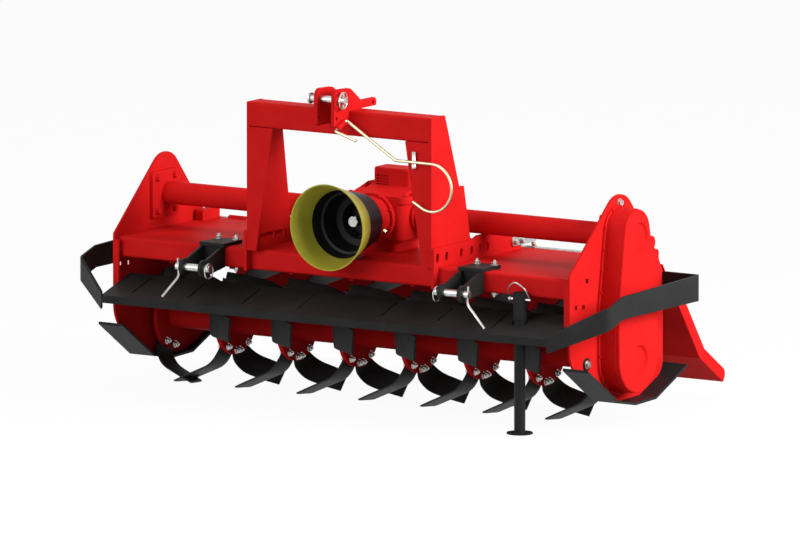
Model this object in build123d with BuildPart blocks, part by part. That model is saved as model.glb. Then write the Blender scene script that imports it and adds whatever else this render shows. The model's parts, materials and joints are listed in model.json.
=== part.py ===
from build123d import *
import math
import os

os.makedirs("parts", exist_ok=True)

# A tractor-mounted rotary tiller. All sizes are millimetres.
# Y runs rearwards and Z upwards from the rotor axis, X towards the gear case end.

SIDES = ((-1, "left"), (1, "right"))
FIT_GAP = 0.3

# Rotor: flanges on a tube, each with hoe tines bolted on its faces
FLANGE_COUNT = 8
FLANGE_END_ROOM = 36
FLANGE_R = 118
FLANGE_T = 16
ROTOR_TUBE_R = 46
STUB_R = 32
STUB_PAST_PLATE = 3
TINES_A_HAND = 3

# Hoe tine: w is its offset ahead of the radius it runs along, t its distance out
TINE_T = 8
SHANK_START_T = -16
SHANK_W = (52, 134)
SHANK_END_T = 108
SHANK_END_W = (30, 132)
BEND_R = 100
BEND_DEG = 62
TIP_L = 70
TIP_W = 128
TIP_INNER_W = 62
TIP_SLANT = 24
STANCE_DEG = 30
HAND_STEP_DEG = 60
bend = math.radians(BEND_DEG)
TIP_T = SHANK_END_T + (BEND_R + TINE_T / 2) * math.sin(bend) + TIP_L * math.cos(bend)
TIP_X = (BEND_R + TINE_T / 2) - (BEND_R - TINE_T / 2) * math.cos(bend) + TIP_L * math.sin(bend)
TIP_R = math.hypot(TIP_W, TIP_T)
TINE_LEAN_DEG = math.degrees(math.atan2(TIP_W, TIP_T)) - STANCE_DEG

# End plates
PLATE_IN = 911
PLATE_T = 8
PLATE_OUT = PLATE_IN + PLATE_T
PLATE_FRONT = -310
PLATE_REAR = 275
PLATE_SHOULDER_Z = 313
PLATE_HEEL_Z = 262
PLATE_HIP = (235, 330)
PLATE_PEAK = (8, 597)
PLATE_PEAK_R = 95
PLATE_NOSE_R = 110
PLATE_SHOULDER_R = 12
PLATE_REAR_R = (60, 40, 30)
PLATE_HOLES = ((-201, 288), (-271, 206), (-223, 202))
PLATE_HOLE = 16
LIP_W = 15
LIP_T = 8
LIP_H = 160
LIP_DROP = 20
BEARING_R = 60
BEARING_PROUD = 21
BEARING_IN = PLATE_IN - BEARING_PROUD
FLANGE_PITCH = 2 * (PLATE_IN - FLANGE_END_ROOM) / (FLANGE_COUNT - 1)
STUB_REACH = PLATE_OUT + STUB_PAST_PLATE

# Skids under the end plates: upper surface as (y, z)
SKID_TOP = ((-300, 3), (-110, -124), (0, -145), (130, -141), (325, -57))
SKID_T = 9
SKID_INSIDE = 26
SKID_IN = PLATE_IN - SKID_INSIDE
SKID_W = 100

# Front beam, deck and cross tubes
BEAM_FRONT = -288
BEAM_SIZE = 70
BEAM_WALL = 8
BEAM_R = 10
BEAM_TOP = 301
BEAM_REAR = BEAM_FRONT + BEAM_SIZE
DECK_TOP = 299
DECK_T = 6
DECK_REAR = 262
STOP_W = 30
STOP_GAP = 9
STOP_Y = (170, 276)
STOP_TOP = 336
STOP_R = 12
TUBE_Z = 417
TUBE_R = 39
TUBE_FLANGE = (160, 160)
TUBE_FLANGE_Y = -16
TUBE_FLANGE_T = 12
TUBE_FLANGE_R = 12
TUBE_HUB_R = 48

# Gearbox and power take-off
GEARBOX_HALF_W = 110
GEARBOX_HALF_L = 95
GEARBOX_BASE_Z = 343
GEARBOX_JOINT_Z = 479
GEARBOX_FLANGE_T = 12
GEARBOX_FLANGE_W = 12
GEARBOX_R = 28
PEDESTAL = 150
PEDESTAL_R = 20
COVER_INSET_Y = 10
COVER_SHOULDER = (20, 518)
COVER_BLOCK_X = (-67, 83)
COVER_BLOCK_Y = (0, 85)
COVER_TOP_Z = 572
COVER_R = 14
COVER_FINS = 5
COVER_FIN_PITCH = 10
COVER_FIN = (48, 6, 8)
COVER_FIN_AT = (-28, 524)
COVER_POCKET = (24, 65, 16)
COVER_POCKET_X = -86
CARRIER_R = 74
CARRIER_FRONT = -187
CARRIER_FLANGE_R = 84
CARRIER_FLANGE_T = 16
CUP_R = 62
STUB_BORE_R = 24.5
PTO_R = 17.4
PTO_FRONT = -228
PTO_INNER_GAP = 5
PTO_COLLAR_L = 35
PTO_INNER = -GEARBOX_HALF_L - PTO_INNER_GAP
PTO_SHOULDER = PTO_INNER - PTO_COLLAR_L
CONE_T = 4
RING_R = 147
RING_FRONT = -388
RING_REAR = -301
RING_REAR_R = 120
BOWL_REAR_R = 93

# Mast
MAST_HALF_W = 371
MAST_T = 10
MAST_FRONT = -314
MAST_TOP = 808
MAST_BEAM = 85
LEG_WIDE = 105
LEG_NARROW = 37
LEG_FOOT_Z = 355
LEG_FOOT_REAR = -68
LEG_STEP_Z = 555
LEG_STEP_Y = (-140, -112)

# Ribs on the deck, outside the mast legs
RIB_T = 12
RIB_FRONT = -316
RIB_REAR = 227
RIB_TOP = 368
RIB_REAR_TOP = 335
RIB_SLOTS_Y = (-294, -238, -146, -83, -30, 16)
RIB_SLOT_Z = 333
RIB_SLOT = (30, 16)

# Top hitch
EAR_GAP = 58
EAR_T = 12
EAR_FRONT = -405
EAR_BASE_Z = 762
EAR_TOP_Z = 889
EAR_CREST = (-305, 885)
EAR_DIP = (-238, 836)
EAR_TAIL = -145
EAR_TAIL_HOLE = (-165, 820)
EAR_BOLTS = ((-389, 790), (-341, 776))
EAR_BOLT_R = 6
TOP_PIN = (-375, 851)
TOP_PIN_R = 12.5
TOP_PIN_HALF = 68

# Support hook for the tractor's shaft: a rod that pivots in a sleeve on the right ear
HOOK_R = 5
HOOK_ELBOW = (47, -340, 780)
HOOK_TILT_DEG = 23
HOOK_SLEEVE_R = 10
HOOK_SLEEVE_L = 46
HOOK_SLEEVE_ROOM = 14
HOOK_ELBOW_R = 9
HOOK_TAIL = (85, -27)
HOOK_BEND = (246, 659)
HOOK_BEND_R = 20
HOOK_LOOP = (387, 577)
HOOK_LOOP_R = 81
HOOK_LOOP_DEG = 209
HOOK_TIP_L = 38

# Lower hitch
HITCH_X = 520
HITCH_GAP = 68
HITCH_EAR_T = 10
HITCH_PIN = (-414, 241)
HITCH_PIN_R = 13
HITCH_PIN_HALF = 68
HITCH_BOSS_R = 29
HITCH_BOSS_TOUCH = (12, 26)
HITCH_BASE_T = 12
HITCH_BASE_W = 98
HITCH_BACK_T = 10
HITCH_BASE_Y = (-306, -190)

# Front guard plate and side guard bars
GUARD_FRONT = -417
GUARD_REAR = -240
GUARD_LIP_Z = (90, 116)
GUARD_REAR_Z = 171
GUARD_T = 5
GUARD_HALF_W = PLATE_IN - LIP_W
GUARD_SLOTS_X = (-793, -571, -349, -127, 203, 425, 647)
GUARD_SLOT = (124, 9)
GUARD_SLOT_Y = -318
BAR_STANDOFF = 147
BAR_OUT = PLATE_OUT + BAR_STANDOFF
BAR_T = 8
BAR_H = (53, 76, 76, 89)
BAR_BEND_Y = -297
BAR_CREST_Y = -204
BAR_REAR = 278
BAR_TOP_Z = (120, 218, 247, 261)
BAR_BEND_R = (30, 14)

# Parking stand
STAND_X = 726
STAND_Y = -317
STAND_R = 19
STAND_FOOT_R = 44
STAND_FOOT_T = 5
STAND_TOP_Z = 232
STAND_SLEEVE_R = 23
STAND_SLEEVE_TOP = 249
STAND_HOLE_R = 28

# Side gear case: circles (y, z, radius) whose hull is its outline
CASE_CIRCLES = ((-12, 435, 80), (-4, 180, 125), (-4, 11, 122))
CASE_LUG = (98, 385, 24)
CASE_FLANGE_W = 10
CASE_FLANGE_T = 6
CASE_T = 66
COVER_T = 15
COVER_INSET = 2
COVER_EDGE_R = 5
BOSS_R = 52
BOSS_DEPTH = 8
BOSS_TAPER_DEG = 45
CAP_R = 78
CAP_T = 16

# Tailboard, hung at the deck's rear edge
HINGE = (281, 295)
BOARD_BEND = (534, -72)
BOARD_EDGE = (682, -172)
BOARD_T = 4
BOARD_END_GAP = 6
BOARD_HALF_W = PLATE_IN - BOARD_END_GAP
BOARD_FLANGE = 40
BOARD_FLANGE_START = 120
BOARD_CORNER_R = 26
BOARD_START = 20
HINGE_PIN_R = 8
HINGE_PIN_INSET = 10
HINGE_PIN_HALF = BOARD_HALF_W - HINGE_PIN_INSET
KNUCKLE_R = 14
KNUCKLE_L = 70
KNUCKLE_STEP = 80
KNUCKLE_INSET = 105
KNUCKLE_MID = 250
DECK_KNUCKLES_X = [side * x for side in (-1, 1) for x in (KNUCKLE_MID, BOARD_HALF_W - KNUCKLE_INSET)]
BOARD_KNUCKLES_X = [x - math.copysign(KNUCKLE_STEP, x) for x in DECK_KNUCKLES_X]

# Adjusting rods between the ribs and the tailboard
ADJUST_EYE = (298, 330)
ADJUST_PIN_R = 6
ADJUST_EYE_R = 14
ADJUST_ROD_R = 8
ADJUST_ROD_L = 268
ADJUST_PLATE_T = 8
ADJUST_PLATE = (153, 30)
EAR_ALONG = 189
EAR_OFF = 27
EAR_L = 30
EAR_W = 40
EAR_H = 45
EAR_HOLE_R = 12
NUT_R = 14
NUT_L = 12

# The floor is where two rows of tine tips stand, and the box is centred fore and aft
ROTOR_Z = TIP_R * math.cos(math.radians(STANCE_DEG))
toe_fall = (Vector(BOARD_EDGE) - Vector(BOARD_BEND)).normalized()
toe_out = Vector(-toe_fall.Y, toe_fall.X)
toe_corner = Vector(BOARD_EDGE) + toe_out * BOARD_FLANGE
REAR_REACH = toe_corner.X + BOARD_CORNER_R * (1 - toe_fall.X - toe_out.X)
FRONT_REACH = HITCH_BOSS_R - HITCH_PIN[0]
ROTOR_Y = (FRONT_REACH - REAR_REACH) / 2

# Sketch planes through the rotor axis: (y, z) seen from +X, (x, z) from the front, (x, y) from above
SIDE = Plane(origin=(0, ROTOR_Y, ROTOR_Z), x_dir=(0, 1, 0), z_dir=(1, 0, 0))
FRONT = Plane(origin=(0, ROTOR_Y, ROTOR_Z), x_dir=(1, 0, 0), z_dir=(0, -1, 0))
PLAN = Plane(origin=(0, ROTOR_Y, ROTOR_Z), x_dir=(1, 0, 0), z_dir=(0, 0, 1))


def rounded(rows):
    """Closed outline from rows of (across, up, corner radius)."""
    FilletPolyline(*[row[:2] for row in rows], radius=[row[2] for row in rows], close=True)


def along(start, end, at):
    """Height at one place on the line through two (across, up) points."""
    return start[1] + (end[1] - start[1]) * (at - start[0]) / (end[0] - start[0])


def skid_top(y):
    """Height of the skid's upper surface at the end plate's front or rear edge."""
    ends = SKID_TOP[:2] if y < 0 else SKID_TOP[-2:]
    return along(ends[0], ends[1], y)


def guard_top(y):
    """Height of the front guard plate's upper surface."""
    return along((GUARD_FRONT, GUARD_LIP_Z[1]), (GUARD_REAR, GUARD_REAR_Z), y)


flange_x = [(i - (FLANGE_COUNT - 1) / 2) * FLANGE_PITCH for i in range(FLANGE_COUNT)]

# Rotor shaft: tube, flanges and the stubs that run in the end bearings
with BuildPart() as rotor_shaft:
    with BuildSketch(SIDE.offset(flange_x[0])):
        Circle(ROTOR_TUBE_R)
    extrude(amount=flange_x[-1] - flange_x[0])
    with BuildSketch(*[SIDE.offset(x - FLANGE_T / 2) for x in flange_x]):
        Circle(FLANGE_R)
    extrude(amount=FLANGE_T)
    with BuildSketch(SIDE.offset(-STUB_REACH)):
        Circle(STUB_R)
    extrude(amount=2 * STUB_REACH)
rotor_shaft.part.label = "rotor_shaft"
export_step(rotor_shaft.part, "parts/rotor_shaft.step")

# One right-hand tine, pointing straight down from the rotor axis and bending towards +X
BEND_FROM = (TINE_T / 2 + BEND_R, -SHANK_END_T)
tip_run = Vector(math.sin(bend), -math.cos(bend)) * TIP_L
with BuildPart() as tine:
    with BuildSketch(Plane.XZ.offset(SHANK_W[1])):
        with BuildLine():
            inner = CenterArc(BEND_FROM, BEND_R - TINE_T / 2, 180, BEND_DEG)
            outer = CenterArc(BEND_FROM, BEND_R + TINE_T / 2, 180, BEND_DEG)
            Polyline(inner @ 1, (inner @ 1) + tip_run, (outer @ 1) + tip_run, outer @ 1)
            Polyline(inner @ 0, (TINE_T, -SHANK_START_T), (0, -SHANK_START_T), outer @ 0)
        make_face()
    extrude(amount=-SHANK_W[1])
    with BuildSketch(Plane.YZ):
        with BuildLine():
            Polyline(
                (-SHANK_W[0], -SHANK_START_T),
                (-SHANK_W[1], -SHANK_START_T),
                (-SHANK_END_W[1], -SHANK_END_T),
                (-TIP_W, -TIP_T),
                (-TIP_W, -TIP_T - TINE_T),
                (-TIP_INNER_W, -TIP_T - TINE_T),
                (-TIP_INNER_W, -TIP_T),
                (-SHANK_END_W[0], -SHANK_END_T),
                close=True,
            )
        make_face()
    extrude(amount=TIP_X + TINE_T, mode=Mode.INTERSECT)
    with BuildSketch(Plane.XY):
        with BuildLine():
            Polyline(
                (TIP_X, -TIP_W),
                (TIP_X - TIP_SLANT, -TIP_INNER_W),
                (TIP_X + TIP_SLANT, -TIP_INNER_W),
                (TIP_X + TIP_SLANT, -TIP_W),
                close=True,
            )
        make_face()
    extrude(amount=-TIP_T - TINE_T, mode=Mode.SUBTRACT)
left_tine = mirror(tine.part, about=Plane.YZ)

# Tines of each hand: the outermost flanges carry only those that bend inwards
TINE_HANDS = (
    ("tines_right_hand", tine.part, 1, flange_x[:-1], HAND_STEP_DEG),
    ("tines_left_hand", left_tine, -1, flange_x[1:], 0),
)
for name, blade, hand, places, phase in TINE_HANDS:
    with BuildPart() as tines:
        for x in places:
            for step in range(TINES_A_HAND):
                turn = TINE_LEAN_DEG + phase + step * 360 / TINES_A_HAND
                face = Location((x + hand * FLANGE_T / 2, ROTOR_Y, ROTOR_Z), (turn, 0, 0))
                with Locations(face):
                    add(blade)
    tines.part.label = name
    export_step(tines.part, f"parts/{name}.step")

# End plates with a turned-in front lip
plate_rows = (
    (PLATE_FRONT, PLATE_SHOULDER_Z, PLATE_SHOULDER_R),
    (PLATE_FRONT, skid_top(PLATE_FRONT), PLATE_NOSE_R),
    (*SKID_TOP[1], 0),
    (*SKID_TOP[2], 0),
    (*SKID_TOP[3], 0),
    (PLATE_REAR, skid_top(PLATE_REAR), PLATE_REAR_R[0]),
    (PLATE_REAR, PLATE_HEEL_Z, PLATE_REAR_R[1]),
    (*PLATE_HIP, PLATE_REAR_R[2]),
    (*PLATE_PEAK, PLATE_PEAK_R),
)
for side, hand in SIDES:
    with BuildPart() as end_plate:
        with BuildSketch(SIDE.offset(side * PLATE_IN)):
            with BuildLine():
                rounded(plate_rows)
            make_face()
            Circle(BEARING_R + FIT_GAP, mode=Mode.SUBTRACT)
            with Locations(*PLATE_HOLES):
                Rectangle(PLATE_HOLE, PLATE_HOLE, mode=Mode.SUBTRACT)
        extrude(amount=side * PLATE_T)
        with BuildSketch(SIDE.offset(side * (PLATE_IN - LIP_W))):
            with Locations((PLATE_FRONT + LIP_T / 2, PLATE_SHOULDER_Z - LIP_DROP - LIP_H / 2)):
                Rectangle(LIP_T, LIP_H)
        extrude(amount=side * LIP_W)
    end_plate.part.label = f"end_plate_{hand}"
    export_step(end_plate.part, f"parts/end_plate_{hand}.step")

# Skids: bent flat bars under the end plates
skid_under = [(y, z - SKID_T) for y, z in reversed(SKID_TOP)]
for side, hand in SIDES:
    with BuildPart() as skid:
        with BuildSketch(SIDE.offset(side * SKID_IN)):
            with BuildLine():
                Polyline(*SKID_TOP, *skid_under, close=True)
            make_face()
        extrude(amount=side * SKID_W)
    skid.part.label = f"skid_{hand}"
    export_step(skid.part, f"parts/skid_{hand}.step")

# Front beam: square tube between the end plates
BEAM_MID = (BEAM_FRONT + BEAM_SIZE / 2, BEAM_TOP - BEAM_SIZE / 2)
with BuildPart() as front_beam:
    with BuildSketch(SIDE.offset(-PLATE_IN)):
        with Locations(BEAM_MID):
            RectangleRounded(BEAM_SIZE, BEAM_SIZE, BEAM_R)
            RectangleRounded(
                BEAM_SIZE - 2 * BEAM_WALL,
                BEAM_SIZE - 2 * BEAM_WALL,
                BEAM_R - BEAM_WALL,
                mode=Mode.SUBTRACT,
            )
    extrude(amount=2 * PLATE_IN)
front_beam.part.label = "front_beam"
export_step(front_beam.part, "parts/front_beam.step")

# Hood deck with stop blocks at its rear corners and hinge knuckles on its rear edge
with BuildPart() as hood_deck:
    with BuildSketch(PLAN.offset(DECK_TOP)):
        with Locations((0, (BEAM_REAR + DECK_REAR) / 2)):
            Rectangle(2 * PLATE_IN, DECK_REAR - BEAM_REAR)
    extrude(amount=-DECK_T)
    for side, hand in SIDES:
        with BuildSketch(SIDE.offset(side * (PLATE_IN - STOP_GAP))):
            with BuildLine():
                rounded((
                    (STOP_Y[0], DECK_TOP, 0),
                    (STOP_Y[1], DECK_TOP, 0),
                    (STOP_Y[1], STOP_TOP, STOP_R),
                    (STOP_Y[0], STOP_TOP, STOP_R),
                ))
            make_face()
        extrude(amount=-side * STOP_W)
    with BuildSketch(*[SIDE.offset(x - KNUCKLE_L / 2) for x in DECK_KNUCKLES_X]):
        with Locations(HINGE):
            Circle(KNUCKLE_R)
        with Locations(((DECK_REAR + HINGE[0]) / 2, DECK_TOP - DECK_T / 2)):
            Rectangle(HINGE[0] - DECK_REAR, DECK_T)
    extrude(amount=KNUCKLE_L)
    with BuildSketch(SIDE.offset(-PLATE_IN)):
        with Locations(HINGE):
            Circle(HINGE_PIN_R + FIT_GAP)
    extrude(amount=2 * PLATE_IN, mode=Mode.SUBTRACT)
hood_deck.part.label = "hood_deck"
export_step(hood_deck.part, "parts/hood_deck.step")

with BuildPart() as hinge_pin:
    with BuildSketch(SIDE.offset(-HINGE_PIN_HALF)):
        with Locations(HINGE):
            Circle(HINGE_PIN_R)
    extrude(amount=2 * HINGE_PIN_HALF)
hinge_pin.part.label = "hinge_pin"
export_step(hinge_pin.part, "parts/hinge_pin.step")

# Cross tubes from the gearbox to the end plates, each with a round hub and a square end flange
for side, hand in SIDES:
    with BuildPart() as cross_tube:
        with BuildSketch(SIDE.offset(side * GEARBOX_HALF_W)):
            with Locations((0, TUBE_Z)):
                Circle(TUBE_R)
        extrude(amount=side * (PLATE_IN - GEARBOX_HALF_W))
        with BuildSketch(SIDE.offset(side * GEARBOX_HALF_W)):
            with Locations((0, TUBE_Z)):
                Circle(TUBE_HUB_R)
        extrude(amount=side * TUBE_FLANGE_T)
        with BuildSketch(SIDE.offset(side * (PLATE_IN - TUBE_FLANGE_T))):
            with Locations((TUBE_FLANGE_Y, TUBE_Z)):
                RectangleRounded(*TUBE_FLANGE, TUBE_FLANGE_R)
        extrude(amount=side * TUBE_FLANGE_T)
    cross_tube.part.label = f"cross_tube_{hand}"
    export_step(cross_tube.part, f"parts/cross_tube_{hand}.step")

# Gearbox casting on its pedestal
with BuildPart() as gearbox:
    with BuildSketch(PLAN.offset(DECK_TOP)):
        RectangleRounded(PEDESTAL, PEDESTAL, PEDESTAL_R)
    extrude(amount=GEARBOX_BASE_Z - DECK_TOP)
    with BuildSketch(PLAN.offset(GEARBOX_BASE_Z)):
        RectangleRounded(2 * GEARBOX_HALF_W, 2 * GEARBOX_HALF_L, GEARBOX_R)
    extrude(amount=GEARBOX_JOINT_Z - GEARBOX_BASE_Z)
    with BuildSketch(PLAN.offset(GEARBOX_JOINT_Z - GEARBOX_FLANGE_T)):
        RectangleRounded(2 * (GEARBOX_HALF_W + GEARBOX_FLANGE_W), 2 * GEARBOX_HALF_L, GEARBOX_R)
    extrude(amount=GEARBOX_FLANGE_T)
gearbox.part.label = "gearbox"
export_step(gearbox.part, "parts/gearbox.step")

# Gearbox cover: a flange, a shoulder that rises to the rear with a pocket in it, and a finned block
COVER_BASE = GEARBOX_JOINT_Z + GEARBOX_FLANGE_T
COVER_HALF_L = GEARBOX_HALF_L - COVER_INSET_Y
COVER_HALF_W = GEARBOX_HALF_W - COVER_INSET_Y
block_mid = (sum(COVER_BLOCK_X) / 2, sum(COVER_BLOCK_Y) / 2)
block_size = (COVER_BLOCK_X[1] - COVER_BLOCK_X[0], COVER_BLOCK_Y[1] - COVER_BLOCK_Y[0])
with BuildPart() as gearbox_cover:
    with BuildSketch(PLAN.offset(COVER_BASE)):
        with Locations(block_mid):
            RectangleRounded(*block_size, COVER_R)
    extrude(amount=COVER_TOP_Z - COVER_BASE)
    fillet(gearbox_cover.faces().sort_by(Axis.Z)[-1].edges(), COVER_R / 2)
    with BuildSketch(PLAN.offset(GEARBOX_JOINT_Z)):
        RectangleRounded(2 * (GEARBOX_HALF_W + GEARBOX_FLANGE_W), 2 * GEARBOX_HALF_L, GEARBOX_R)
    extrude(amount=GEARBOX_FLANGE_T)
    with BuildSketch(SIDE.offset(-COVER_HALF_W)):
        with BuildLine():
            Polyline(
                (-COVER_HALF_L, COVER_BASE),
                COVER_SHOULDER,
                (COVER_HALF_L, COVER_SHOULDER[1]),
                (COVER_HALF_L, COVER_BASE),
                close=True,
            )
        make_face()
    extrude(amount=2 * COVER_HALF_W)
    with BuildSketch(FRONT.offset(-COVER_BLOCK_Y[0])):
        with Locations(COVER_FIN_AT):
            with GridLocations(1, COVER_FIN_PITCH, 1, COVER_FINS):
                Rectangle(*COVER_FIN[:2])
    extrude(amount=-COVER_FIN[2], mode=Mode.SUBTRACT)
    with BuildSketch(PLAN.offset(COVER_SHOULDER[1])):
        with Locations((COVER_POCKET_X, COVER_SHOULDER[0] - COVER_POCKET[1] / 2)):
            RectangleRounded(*COVER_POCKET[:2], COVER_POCKET[0] / 4)
    extrude(amount=-COVER_POCKET[2], mode=Mode.SUBTRACT)
gearbox_cover.part.label = "gearbox_cover"
export_step(gearbox_cover.part, "parts/gearbox_cover.step")

# Input carrier, guard bowl and guard ring round the shaft end
pto_axis = Axis((0, ROTOR_Y, ROTOR_Z + TUBE_Z), (0, 1, 0))
with BuildPart() as input_carrier:
    with BuildSketch(SIDE):
        with BuildLine():
            Polyline(
                (-GEARBOX_HALF_L, TUBE_Z + STUB_BORE_R),
                (-GEARBOX_HALF_L, TUBE_Z + CARRIER_FLANGE_R),
                (-GEARBOX_HALF_L - CARRIER_FLANGE_T, TUBE_Z + CARRIER_FLANGE_R),
                (-GEARBOX_HALF_L - CARRIER_FLANGE_T, TUBE_Z + CARRIER_R),
                (CARRIER_FRONT, TUBE_Z + CARRIER_R),
                (CARRIER_FRONT, TUBE_Z + CUP_R),
                (PTO_SHOULDER, TUBE_Z + CUP_R),
                (PTO_SHOULDER, TUBE_Z + STUB_BORE_R),
                close=True,
            )
        make_face()
    revolve(axis=pto_axis)
input_carrier.part.label = "input_carrier"
export_step(input_carrier.part, "parts/input_carrier.step")

with BuildPart() as pto_bowl:
    with BuildSketch(SIDE):
        with BuildLine():
            Polyline(
                (CARRIER_FRONT, TUBE_Z + CUP_R),
                (CARRIER_FRONT, TUBE_Z + BOWL_REAR_R),
                (RING_REAR, TUBE_Z + RING_REAR_R),
                (RING_REAR, TUBE_Z + RING_REAR_R - CONE_T),
                (CARRIER_FRONT - CONE_T, TUBE_Z + BOWL_REAR_R - CONE_T),
                (CARRIER_FRONT - CONE_T, TUBE_Z + CUP_R),
                close=True,
            )
        make_face()
    revolve(axis=pto_axis)
pto_bowl.part.label = "pto_bowl"
export_step(pto_bowl.part, "parts/pto_bowl.step")

with BuildPart() as pto_ring:
    with BuildSketch(SIDE):
        with BuildLine():
            Polyline(
                (RING_REAR, TUBE_Z + RING_REAR_R - CONE_T),
                (RING_REAR, TUBE_Z + RING_REAR_R),
                (RING_FRONT, TUBE_Z + RING_R),
                (RING_FRONT, TUBE_Z + RING_R - CONE_T),
                close=True,
            )
        make_face()
    revolve(axis=pto_axis)
pto_ring.part.label = "pto_ring"
export_step(pto_ring.part, "parts/pto_ring.step")

with BuildPart() as pto_stub:
    with BuildSketch(FRONT.offset(-PTO_INNER)):
        with Locations((0, TUBE_Z)):
            Circle(STUB_BORE_R - FIT_GAP)
    extrude(amount=PTO_INNER - PTO_SHOULDER)
    with BuildSketch(FRONT.offset(-PTO_SHOULDER)):
        with Locations((0, TUBE_Z)):
            Circle(PTO_R)
    extrude(amount=PTO_SHOULDER - PTO_FRONT)
pto_stub.part.label = "pto_stub"
export_step(pto_stub.part, "parts/pto_stub.step")

# Mast: two tapered legs and a box beam across their tops
MAST_REAR = MAST_FRONT + MAST_BEAM
MAST_BEAM_BASE = MAST_TOP - MAST_BEAM
for side, hand in SIDES:
    with BuildPart() as mast_leg:
        with BuildSketch(SIDE.offset(side * (MAST_HALF_W - MAST_T))):
            with BuildLine():
                Polyline(
                    (MAST_FRONT, LEG_FOOT_Z),
                    (MAST_FRONT, MAST_TOP),
                    (MAST_REAR, MAST_TOP),
                    (LEG_STEP_Y[0], LEG_STEP_Z),
                    (LEG_STEP_Y[1], LEG_STEP_Z),
                    (LEG_FOOT_REAR, LEG_FOOT_Z),
                    close=True,
                )
            make_face()
        extrude(amount=side * MAST_T)
        with BuildSketch(FRONT.offset(-MAST_FRONT - MAST_T)):
            with BuildLine():
                Polyline(
                    (side * MAST_HALF_W, BEAM_TOP),
                    (side * MAST_HALF_W, MAST_BEAM_BASE),
                    (side * (MAST_HALF_W - LEG_WIDE), MAST_BEAM_BASE),
                    (side * (MAST_HALF_W - LEG_NARROW), BEAM_TOP),
                    close=True,
                )
            make_face()
        extrude(amount=MAST_T)
    mast_leg.part.label = f"mast_leg_{hand}"
    export_step(mast_leg.part, f"parts/mast_leg_{hand}.step")

with BuildPart() as mast_top_beam:
    with BuildSketch(SIDE.offset(MAST_T - MAST_HALF_W)):
        with Locations((MAST_FRONT + MAST_BEAM / 2, MAST_TOP - MAST_BEAM / 2)):
            RectangleRounded(MAST_BEAM, MAST_BEAM, BEAM_R)
            RectangleRounded(
                MAST_BEAM - 2 * BEAM_WALL,
                MAST_BEAM - 2 * BEAM_WALL,
                BEAM_R - BEAM_WALL,
                mode=Mode.SUBTRACT,
            )
    extrude(amount=2 * (MAST_HALF_W - MAST_T))
mast_top_beam.part.label = "mast_top_beam"
export_step(mast_top_beam.part, "parts/mast_top_beam.step")

# Ribs that saddle the beam and run back along the deck under the cross tubes
TUBE_UNDER = TUBE_Z - TUBE_R - FIT_GAP
rib_rows = (
    (RIB_FRONT, BEAM_TOP - BEAM_SIZE, 0),
    (BEAM_FRONT, BEAM_TOP - BEAM_SIZE, 0),
    (BEAM_FRONT, BEAM_TOP, 0),
    (BEAM_REAR, BEAM_TOP, 0),
    (BEAM_REAR, DECK_TOP, 0),
    (RIB_REAR, DECK_TOP, 0),
    (RIB_REAR, RIB_REAR_TOP, 12),
    (TUBE_R, TUBE_UNDER, 0),
    (-TUBE_R, TUBE_UNDER, 0),
    (LEG_FOOT_REAR, RIB_TOP, 0),
    (RIB_FRONT, RIB_TOP, 8),
)
for side, hand in SIDES:
    with BuildPart() as rib:
        with BuildSketch(SIDE.offset(side * MAST_HALF_W)):
            with BuildLine():
                rounded(rib_rows)
            make_face()
            with Locations(*[(y, RIB_SLOT_Z) for y in RIB_SLOTS_Y]):
                SlotOverall(*RIB_SLOT, rotation=80, mode=Mode.SUBTRACT)
        extrude(amount=side * RIB_T)
    rib.part.label = f"rib_{hand}"
    export_step(rib.part, f"parts/rib_{hand}.step")

# Top hitch bracket: two ears on the mast beam, with the hook's sleeve beside the right ear
ear_rows = (
    (MAST_FRONT, EAR_BASE_Z, 0),
    (EAR_FRONT, EAR_BASE_Z, 8),
    (EAR_FRONT, EAR_TOP_Z, 28),
    (*EAR_CREST, 40),
    (*EAR_DIP, 24),
    (EAR_TAIL, EAR_DIP[1], 14),
    (EAR_TAIL, MAST_TOP, 8),
    (MAST_FRONT, MAST_TOP, 0),
)
elbow = SIDE.offset(HOOK_ELBOW[0]).from_local_coords(Vector(*HOOK_ELBOW[1:]))
tilt = math.radians(HOOK_TILT_DEG)
pivot_fall = Vector(0, -math.cos(tilt), -math.sin(tilt))
sleeve_plane = Plane(origin=elbow + pivot_fall * HOOK_SLEEVE_ROOM, z_dir=pivot_fall)
with BuildPart() as top_hitch_bracket:
    for x in (-EAR_GAP / 2 - EAR_T, EAR_GAP / 2):
        with BuildSketch(SIDE.offset(x)):
            with BuildLine():
                rounded(ear_rows)
            make_face()
            with Locations(TOP_PIN):
                Circle(TOP_PIN_R + FIT_GAP, mode=Mode.SUBTRACT)
            with Locations(EAR_TAIL_HOLE, *EAR_BOLTS):
                Circle(EAR_BOLT_R, mode=Mode.SUBTRACT)
        extrude(amount=EAR_T)
    with BuildSketch(SIDE.offset(-EAR_GAP / 2)):
        with BuildLine():
            Polyline(
                (MAST_FRONT, EAR_BASE_Z),
                (MAST_FRONT, MAST_TOP),
                (MAST_REAR, MAST_TOP),
                (MAST_REAR, MAST_TOP + EAR_T),
                (MAST_FRONT - EAR_T, MAST_TOP + EAR_T),
                (MAST_FRONT - EAR_T, EAR_BASE_Z),
                close=True,
            )
        make_face()
    extrude(amount=EAR_GAP)
    with BuildSketch(sleeve_plane):
        Circle(HOOK_SLEEVE_R)
    extrude(amount=HOOK_SLEEVE_L)
    with BuildSketch(sleeve_plane):
        Circle(HOOK_R + FIT_GAP)
    extrude(amount=HOOK_SLEEVE_L, mode=Mode.SUBTRACT)
top_hitch_bracket.part.label = "top_hitch_bracket"
export_step(top_hitch_bracket.part, "parts/top_hitch_bracket.step")

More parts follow.
